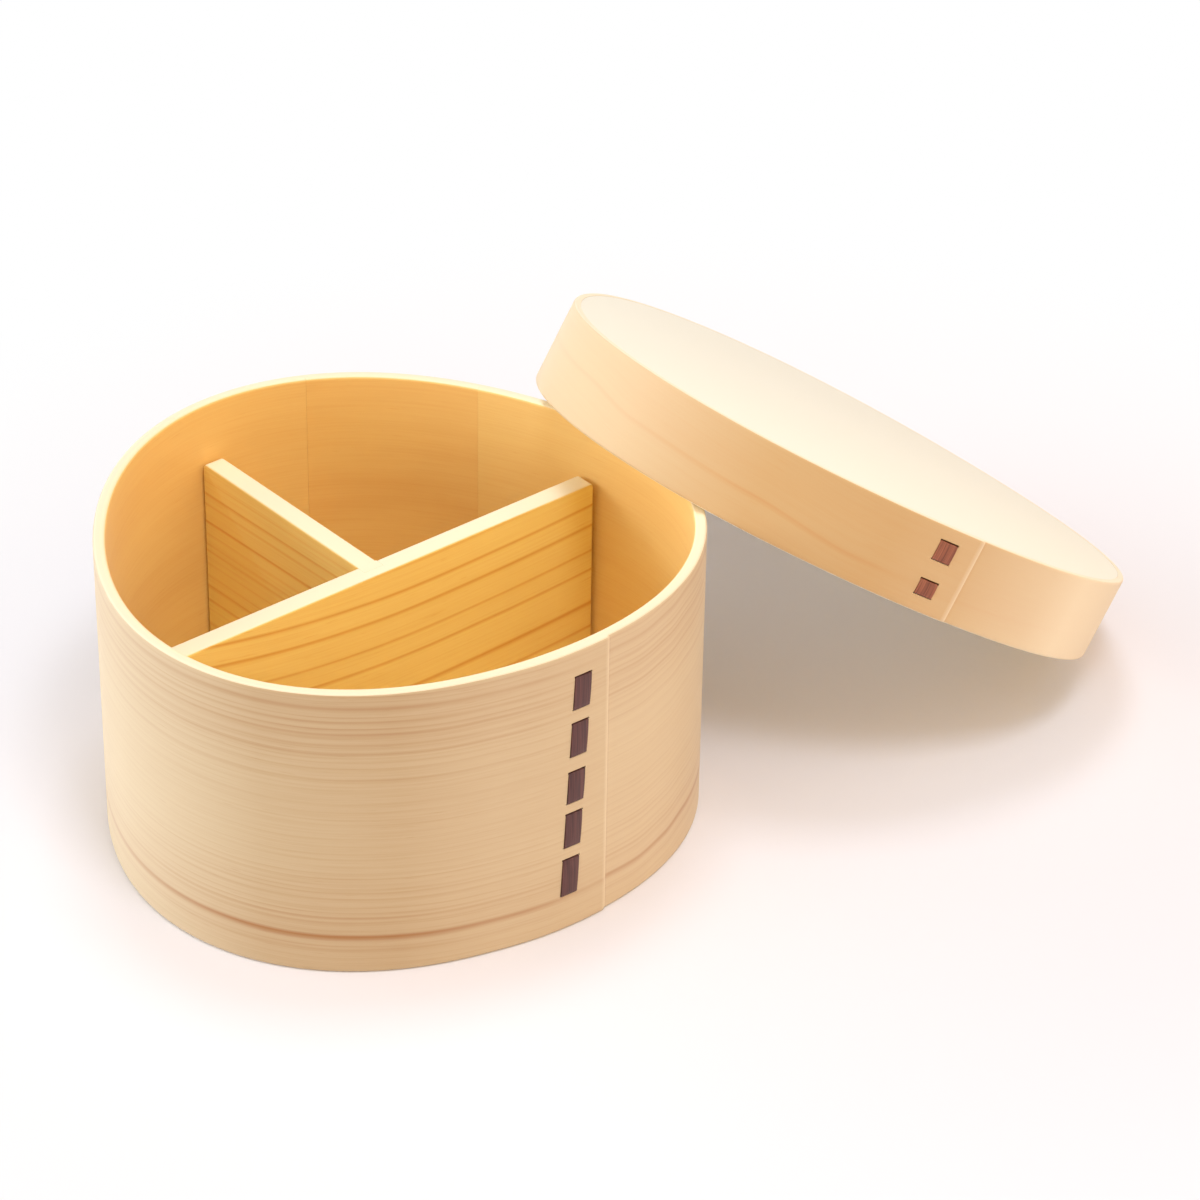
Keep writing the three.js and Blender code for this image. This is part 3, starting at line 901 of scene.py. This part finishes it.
# The dark line at the lap is glue and painted shade; the pale bevel is cut wood and a painted highlight.
GLUE_SHADE_SHARE = 0.2
BEVEL_LIT_SHARE = 0.55
FLECK_SHARE = 0.25
BARE_WOOD = {"Specular IOR Level": 0.3, "Sheen Weight": 0.16, "Sheen Roughness": 0.5}


def surface(colour, rough, relief, strength, finish):
    """Joins colour, roughness and a faint bump in a shader; the finish is the same all over."""
    bump = follow('Bump', {"Strength": strength, "Distance": RELIEF * MM, "Height": relief})
    shader = follow('BsdfPrincipled', {"Base Color": colour, "Roughness": rough, "Normal": bump.outputs[0]})
    for name, value in finish.items():
        shader.inputs[name].default_value = value
    follow('OutputMaterial', {0: shader.outputs[0]})


def wood(name, base, dark, pale, seed, spacing, line_share, waver, fibre_share, cloud_share,
         sharpness=3.0, unevenness=1.0, pale_share=0.9, shift=None, bold=(), tall=BOX_HEIGHT,
         figure=None, vigour=None, tone_and_shade=None, faded_and_lit=None, lap=False):
    material = bpy.data.materials.new(name)
    tree = empty_tree(material)
    base, dark, pale = paint(*base), paint(*dark), paint(*pale)
    straight = put(tree, 'Attribute', attribute_name="grain").outputs["Vector"]
    # This mask paints faces that look up or down pale: sanded wood, and painted light from above.
    sanded_and_lit = put(tree, 'Attribute', attribute_name="sanded_and_lit").outputs["Fac"]
    grain = shift(straight) if shift else straight
    lines = follow('Group', {"Grain": grain, "Spacing": spacing * MM, "Waver": waver * MM,
                             "Sharpness": sharpness, "Unevenness": unevenness, "Seed": seed},
                   node_tree=growth).outputs[0]
    fine = follow('Group', {"Grain": grain, "Fineness": WOOD_FINENESS, "Seed": seed},
                  node_tree=fibres).outputs
    along, height, _ = parts_of(straight)
    way, level = over(along, ROUND * MM), over(height, tall * MM)
    line_mask = times(lines, line_share)
    if figure:
        line_mask = times(line_mask, ramp_of(level, figure))
    if bold:
        line_mask = larger(line_mask, bold_lines(grain, bold, tall))
    if vigour:
        line_mask = times(line_mask, ramp_of(way, vigour))
    streak = spread(fine["Streaks"], *STREAK_RANGE, 0.0, fibre_share)
    cloud = spread(fine["Clouds"], *CLOUD_RANGE, 0.0, cloud_share)
    darkness = plus(plus(line_mask, streak), cloud)
    # Darker by height: near the rim in the wood's own tone, at the foot as painted shade.
    if tone_and_shade:
        darkness = plus(darkness, ramp_of(level, tone_and_shade))
    # At the lap: a painted highlight on the bevel and painted shade under the step, with cut wood and glue.
    if lap:
        marks = follow('Group', {"Grain": straight}, node_tree=lap_marks).outputs
        darkness = plus(darkness, times(marks["Joint and shade"], GLUE_SHADE_SHARE))
        sanded_and_lit = larger(sanded_and_lit, times(marks["Bevel"], BEVEL_LIT_SHARE))
    # Paler along the way round: partly the strip's own tone, partly painted light where side lights fall.
    if faded_and_lit:
        sanded_and_lit = larger(sanded_and_lit, ramp_of(way, faded_and_lit))
    darkness = math_node('MINIMUM', darkness, 1.0)
    flecked = mix_colours(times(fine["Flecks"], FLECK_SHARE), mix_colours(darkness, base, dark), dark)
    surface(mix_colours(times(sanded_and_lit, pale_share), flecked, pale),
            spread(darkness, 0.0, 1.0, ROUGH_EARLY, ROUGH_LATE),
            plus(fine["Streaks"], times(line_mask, LINE_RELIEF)), WOOD_BUMP, BARE_WOOD)
    return material


print("wood recipe ready")

# %% [markdown]
# ## The woods of this box
#
# The outer plies are split along the rings, so fine straight lines run right round them, lively near the
# rim and the foot and nearly plain between, with one bold line above the foot. They differ from one side
# of the lap to the other, because those are the two ends of one strip. The lid's one bold line climbs and
# sinks on its way round, and both bands are paler in places, partly in their own tone and partly as
# painted light where the window and the side lights fall. The box's band is also darker at its foot, as
# painted shade. The inner plies are warmer and calmer.

# %% Woods of the plies
rim_lines = [(66.5, 0.45, 0.9), (63.2, 0.36, 0.6), (60.2, 0.45, 0.65), (57.6, 0.3, 0.55),
             (55.4, 0.45, 0.5), (53.4, 0.14, 0.4), (49, 0.32, 0.5), (46.2, 0.12, 0.4)]
foot_lines = [(25.2, 0.14, 0.4), (22.6, 0.12, 0.4), (20.4, 0.25, 0.45), (16.6, 0.12, 0.4),
              (14, 0.45, 0.45), (12.8, 0.3, 0.4), (8.9, 0.9, 1.05), (5.7, 0.3, 0.5)]
outer_wood = wood(
    "pale split wood", (200, 180, 144), (162, 111, 61), (252, 241, 212), seed=3.0, spacing=1.7,
    line_share=0.7, waver=1.0, fibre_share=0.13, cloud_share=0.08, sharpness=4.0, unevenness=1.6,
    shift=drifting([(0, -0.6), (0.024, -1.0), (0.048, -0.3), (0.07, 0.9), (0.1, 1.4), (0.2, 0.6),
                    (0.5, -0.3), (0.7, 0.5), (0.78, 0.5), (0.85, 0), (0.92, -0.6), (1, -0.9)]),
    bold=rim_lines + foot_lines,
    figure=[(0, 0.3), (0.2, 0.8), (0.36, 0.7), (0.44, 0.35), (0.66, 0.35), (0.7, 0.7), (1, 0.8)],
    vigour=[(0, 1), (0.15, 1), (0.3, 0.7), (0.75, 0.9), (0.955, 0.85), (0.975, 0.45), (1, 0.35)],
    # Darker near the rim in the wood's own tone, and at the foot as painted shade.
    tone_and_shade=[(0, 0.12), (0.08, 0.09), (0.14, 0.15), (0.3, 0.04), (0.7, 0.02), (0.82, 0.1), (0.97, 0.12)],
    # Paler in places round the strip: partly its own tone, partly painted light where window and side light
    # fall.
    faded_and_lit=[(0, 0.28), (0.04, 0.27), (0.07, 0.2), (0.1, 0.2), (0.3, 0.08), (0.66, 0.43), (0.705, 0.35),
           (0.763, 0.17), (0.81, 0), (0.877, 0), (0.903, 0.1), (0.93, 0.18), (1, 0.22)], lap=True)
lid_wood = wood(
    "pale lid wood", (203, 170, 121), (198, 146, 90), (255, 249, 224), seed=8.0, spacing=2.3,
    line_share=0.14, waver=1.6, fibre_share=0.12, cloud_share=0.22, sharpness=3.5, unevenness=1.6,
    shift=drifting([(0, -3), (0.1, -2), (0.5, 2), (0.7, 3.2), (0.766, 2.7), (0.808, 0.6),
                    (0.876, -0.5), (0.937, -2.8), (1, -3)], 4.0),
    bold=[(8.2, 0.48, 0.9)], tall=LID_HEIGHT,
    vigour=[(0, 0.3), (0.3, 0.5), (0.7, 0.8), (0.78, 1), (0.93, 1), (0.97, 0.3), (1, 0.3)],
    # Paler in places: partly the strip's own tone, pale at one end, partly painted light on the side facing
    # the window.
    faded_and_lit=[(0, 0.14), (0.05, 0.42), (0.08, 0.68), (0.2, 0.4), (0.5, 0.2), (0.7, 0.4), (0.8, 0.25),
           (0.88, 0.0), (0.95, 0.0), (1, 0.14)], lap=True)
inner_wood = wood(
    "warm inner wood", (251, 217, 138), (225, 160, 80), (252, 241, 210), seed=5.0, spacing=5.0,
    line_share=0.06, waver=2.0, fibre_share=0.12, cloud_share=0.16)
closing_wood = wood(
    "closing strip wood", (249, 211, 131), (223, 154, 76), (252, 241, 210), seed=11.0, spacing=6.0,
    line_share=0.08, waver=3.0, fibre_share=0.12, cloud_share=0.24)
print("ply woods:", [material.name for material in (outer_wood, lid_wood, inner_wood, closing_wood)])

# %% [markdown]
# The boards are sawn, not split. The divider is flat-sawn: the saw crossed the rings at a low angle, so
# wide brown lines sweep along the long board in a bow. The short board comes from elsewhere in the plank
# and has its lines closer together. The top of the lid is almost white: it is sanded, and painted paler
# still as light from above, as every face that looks up or down is.

# %% Woods of the boards
base_wood = wood(
    "base board wood", (250, 222, 156), (214, 160, 92), (250, 222, 156), seed=4.0, spacing=6.0,
    line_share=0.12, waver=2.5, fibre_share=0.12, cloud_share=0.12, sharpness=4.0, pale_share=0.6)
board_wood = wood(
    "lid board wood", (247, 198, 114), (214, 156, 84), (248, 251, 240), seed=2.0, spacing=6.0,
    line_share=0.2, waver=2.5, fibre_share=0.16, cloud_share=0.14, pale_share=0.95)
long_wood = wood(
    "divider wood", (255, 229, 137), (222, 158, 46), (255, 246, 218), seed=1.5, spacing=1.3,
    line_share=0.1, waver=1.0, fibre_share=0.12, cloud_share=0.12, pale_share=0.95,
    shift=bowed(15, 1.8, 0.7),
    bold=[(55, 0.4, 0.6), (48.8, 0.7, 0.6), (43.5, 0.75, 0.65), (36.8, 0.55, 0.55), (31.8, 0.65, 0.6),
          (22.8, 0.8, 0.9), (16.5, 0.6, 0.7), (10.5, 0.7, 0.8)])
short_wood = wood(
    "short divider wood", (255, 233, 148), (222, 157, 55), (255, 246, 218), seed=6.0, spacing=1.9,
    line_share=0.18, waver=0.8, fibre_share=0.14, cloud_share=0.14, unevenness=1.4, pale_share=0.95,
    bold=[(53.4, 0.25, 0.5), (49.9, 0.6, 0.6), (47.2, 0.4, 0.5), (42.6, 0.75, 0.55), (39.4, 0.25, 0.5),
          (36.6, 0.3, 0.5), (34.9, 0.4, 0.5), (31.4, 0.25, 0.5), (28, 0.3, 0.5), (25.2, 0.5, 0.7),
          (21.4, 0.5, 0.7), (15, 0.4, 0.6), (9, 0.5, 0.6)])
print("board woods:", [material.name for material in (base_wood, board_wood, long_wood, short_wood)])

# %% [markdown]
# ## Bark
#
# Cherry bark is dark, close and faintly glossy, with fine lines along the strip and small paler pores. It
# gets its own recipe, with a little coat for the sheen, and the lid's strip is redder, from another tree.

# %% Bark
BARK_FINENESS = 1400.0
BARK_STREAKS, BARK_ROUGHNESS = (0.35, 0.7), (0.38, 0.55)
BARK_BUMP = 0.4
BARK_FINISH = {"Coat Weight": 0.06, "Coat Roughness": 0.3}


def bark(name, deep, light, seed):
    material = bpy.data.materials.new(name)
    tree = empty_tree(material)
    grain = put(tree, 'Attribute', attribute_name="grain").outputs["Vector"]
    fine = follow('Group', {"Grain": grain, "Fineness": BARK_FINENESS, "Seed": seed},
                  node_tree=fibres).outputs
    colour = mix_colours(spread(fine["Streaks"], *BARK_STREAKS), paint(*deep), paint(*light))
    rough = spread(fine["Clouds"], 0.0, 1.0, *BARK_ROUGHNESS)
    surface(colour, rough, fine["Streaks"], BARK_BUMP, BARK_FINISH)
    return material


box_bark = bark("dark bark", (62, 30, 30), (104, 60, 56), 4.0)
lid_bark = bark("red bark", (100, 48, 30), (172, 102, 72), 9.0)
print("barks:", [item.name for item in bpy.data.materials if "bark" in item.name])

# %% [markdown]
# ## Handing the pieces over
#
# Each piece is listed with the CAD piece it stands for, its material, a finish of the record and the body
# that carries it. It gets its material, the CAD piece is hidden, and it rides on the body, so that it
# follows when the lid or the divider is lifted.

# %% Hand over
handed = [
    (outer_band, "box_outer_band", outer_wood, "outer_ply_wood", "box"),
    (inner_band, "box_inner_band", inner_wood, "inner_ply_wood", "box"),
    (closing_strip, "box_inner_closing_strip", closing_wood, "inner_ply_wood", "box"),
    (base_board, "box_base_board", base_wood, "board_wood", "box"),
    (box_lace, "box_bark_lacing", box_bark, "bark", "box"),
    (lid_outer, "lid_outer_band", lid_wood, "outer_ply_wood", "lid"),
    (lid_inner, "lid_inner_band", inner_wood, "inner_ply_wood", "lid"),
    (lid_board, "lid_top_board", board_wood, "board_wood", "lid"),
    (lid_lace, "lid_bark_lacing", lid_bark, "bark", "lid"),
    (long_board, "divider_long_board", long_wood, "divider_wood", "divider"),
    (short_board, "divider_short_board", short_wood, "divider_wood", "divider")]
for piece, node, material, slot, body in handed:
    piece.data.materials.clear()
    piece.data.materials.append(material)
    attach(piece, body)
    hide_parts(node)

# %% [markdown]
# ## Floor, light and camera
#
# The box stands on a white sweep under two soft, cool lamps, one a little in front and one a little
# behind, which is why the lid throws a deep shadow with a paler one beyond it. The world adds white
# daylight from a window on the left, a slightly warm light from overhead, and a warm light from the front
# right and a little from behind, as off a wooden table. Camera rays see a plain white backdrop.

# %% Floor
SWEEP_SIZE = 8
SWEEP_DROP = 0.0002
SHADOW_MIDDLE = (0.07, 0, 0)
WHITE_FROM, WHITE_FULL = 0.12, 0.27
WHITE = (1, 1, 1, 1)
bpy.ops.mesh.primitive_plane_add(size=SWEEP_SIZE, location=(0, 0, -SWEEP_DROP))
floor = bpy.context.object
floor.name = "floor"
sweep = bpy.data.materials.new("white sweep")
tree = empty_tree(sweep)
diffuse = put(tree, 'BsdfDiffuse', {"Color": paint(240, 241, 250)})
backdrop = put(tree, 'Emission', {"Color": WHITE, "Strength": 1.0})
where = put(tree, 'TexCoord').outputs["Object"]
away = follow('VectorMath', {0: where, 1: SHADOW_MIDDLE}, operation='DISTANCE').outputs["Value"]
fade = spread(away, WHITE_FROM, WHITE_FULL, interpolation_type='SMOOTHSTEP')
seen = times(put(tree, 'LightPath').outputs["Is Camera Ray"], fade)
mixed = follow('MixShader', {0: seen, 1: diffuse.outputs[0], 2: backdrop.outputs[0]})
follow('OutputMaterial', {0: mixed.outputs[0]})
floor.data.materials.append(sweep)
print("floor ready, white from", WHITE_FULL, "m out")

# %% World
WINDOW_COLOUR, WINDOW_LIGHT = (1, 0.995, 0.99, 1), 5.0
WINDOW_SIDE, WINDOW_TOP = (0.55, 0.95), (0.15, 0.65)
OVERHEAD_COLOUR, OVERHEAD_LIGHT = (1, 0.92, 0.82, 1), 1.2
OVERHEAD_RISE, OVERHEAD_BACK, BACK_LOSS = (0.45, 0.85), (-0.3, 0.4), 0.8
TABLE_COLOUR, TABLE_LIGHT, TABLE_BEHIND, TABLE_ALL_ROUND = (1, 0.64, 0.34, 1), 1.85, 0.2, 0.06
TABLE_RIGHT, TABLE_FRONT = 0.85, 0.5
TABLE_SIDE, TABLE_BACK, TABLE_TOP = (0.3, 0.95), (0.2, 0.8), (0.4, 0.9)
world = bpy.data.worlds.new("white room")
bpy.context.scene.world = world
tree = empty_tree(world)
across, ahead, climb = parts_of(put(tree, 'TexCoord').outputs["Generated"])


def glow(value, low, high, most):
    """Light that grows smoothly from nothing to most as a part of the direction goes from low to high."""
    return spread(value, low, high, 0.0, most, interpolation_type='SMOOTHSTEP')


def shade(value, low, high, most=1.0):
    """What is left of a light where that glow is taken away."""
    return minus(1.0, glow(value, low, high, most))


def light(colour, strength):
    return put(tree, 'Background', {"Color": colour, "Strength": strength}).outputs[0]


def together(first, second):
    return follow('AddShader', {0: first, 1: second}).outputs[0]


window = times(shade(climb, *WINDOW_TOP), glow(times(across, -1.0), *WINDOW_SIDE, WINDOW_LIGHT))
overhead = times(glow(climb, *OVERHEAD_RISE, OVERHEAD_LIGHT), shade(ahead, *OVERHEAD_BACK, BACK_LOSS))
front_right = minus(times(across, TABLE_RIGHT), times(ahead, TABLE_FRONT))
table = times(shade(climb, *TABLE_TOP), plus(glow(front_right, *TABLE_SIDE, TABLE_LIGHT),
                                             glow(ahead, *TABLE_BACK, TABLE_BEHIND)))
room = together(light(WINDOW_COLOUR, window), together(
    light(OVERHEAD_COLOUR, overhead), light(TABLE_COLOUR, plus(table, TABLE_ALL_ROUND))))
ray = put(tree, 'LightPath').outputs
shine = light(WHITE, plus(window, 1.0))
glossy = follow('MixShader', {0: ray["Is Glossy Ray"], 1: room, 2: shine})
mixed = follow('MixShader', {0: ray["Is Camera Ray"], 1: glossy.outputs[0], 2: light(WHITE, 1.0)})
follow('OutputWorld', {0: mixed.outputs[0]})
bpy.context.scene.view_settings.view_transform = 'Standard'
print("world ready:", len(tree.nodes), "nodes")

# %% Lamps
LAMP_HEIGHT = 1.2
LAMP_AIM = 0.05
LAMP_SIZE = 0.3
COOL_WHITE = (0.86, 0.92, 1)


def soft_lamp(name, right, back, watts):
    """A square lamp above the box that leans by so much to the right and away, and points at the box."""
    towards = Vector((-right, -back, -1)).to_track_quat('-Z', 'Y').to_euler()
    bpy.ops.object.light_add(type='AREA', rotation=towards, location=(
        LAMP_AIM + right * LAMP_HEIGHT, back * LAMP_HEIGHT, LAMP_HEIGHT))
    lamp = bpy.context.object
    lamp.name = name
    lamp.data.shape = 'SQUARE'
    lamp.data.size = LAMP_SIZE
    lamp.data.energy = watts
    lamp.data.color = COOL_WHITE
    return lamp


lamps = [soft_lamp("front lamp", 0.15, -0.4, 4.25), soft_lamp("back lamp", 0, 0.2, 2.9)]
print("lamps", [(lamp.name, round(lamp.data.energy, 1)) for lamp in lamps])

# %% Camera
HEADING, PITCH, ROLL = math.radians(4.051), math.radians(32.551), math.radians(0.991)
STANDPOINT = (-0.0116, -0.80964, 0.56743)
SENSOR = 36
LENS = 132.75
NEAREST = 0.01
bpy.ops.object.camera_add(location=STANDPOINT)
camera = bpy.context.object
camera.rotation_mode = 'QUATERNION'
camera.rotation_quaternion = (Matrix.Rotation(-HEADING, 3, 'Z')
                              @ Matrix.Rotation(math.pi / 2 - PITCH, 3, 'X')
                              @ Matrix.Rotation(ROLL, 3, 'Z')).to_quaternion()
camera.data.sensor_width = SENSOR
camera.data.lens = LENS
camera.data.clip_start = NEAREST
bpy.context.scene.camera = camera
print("camera", [round(value, 3) for value in camera.location])
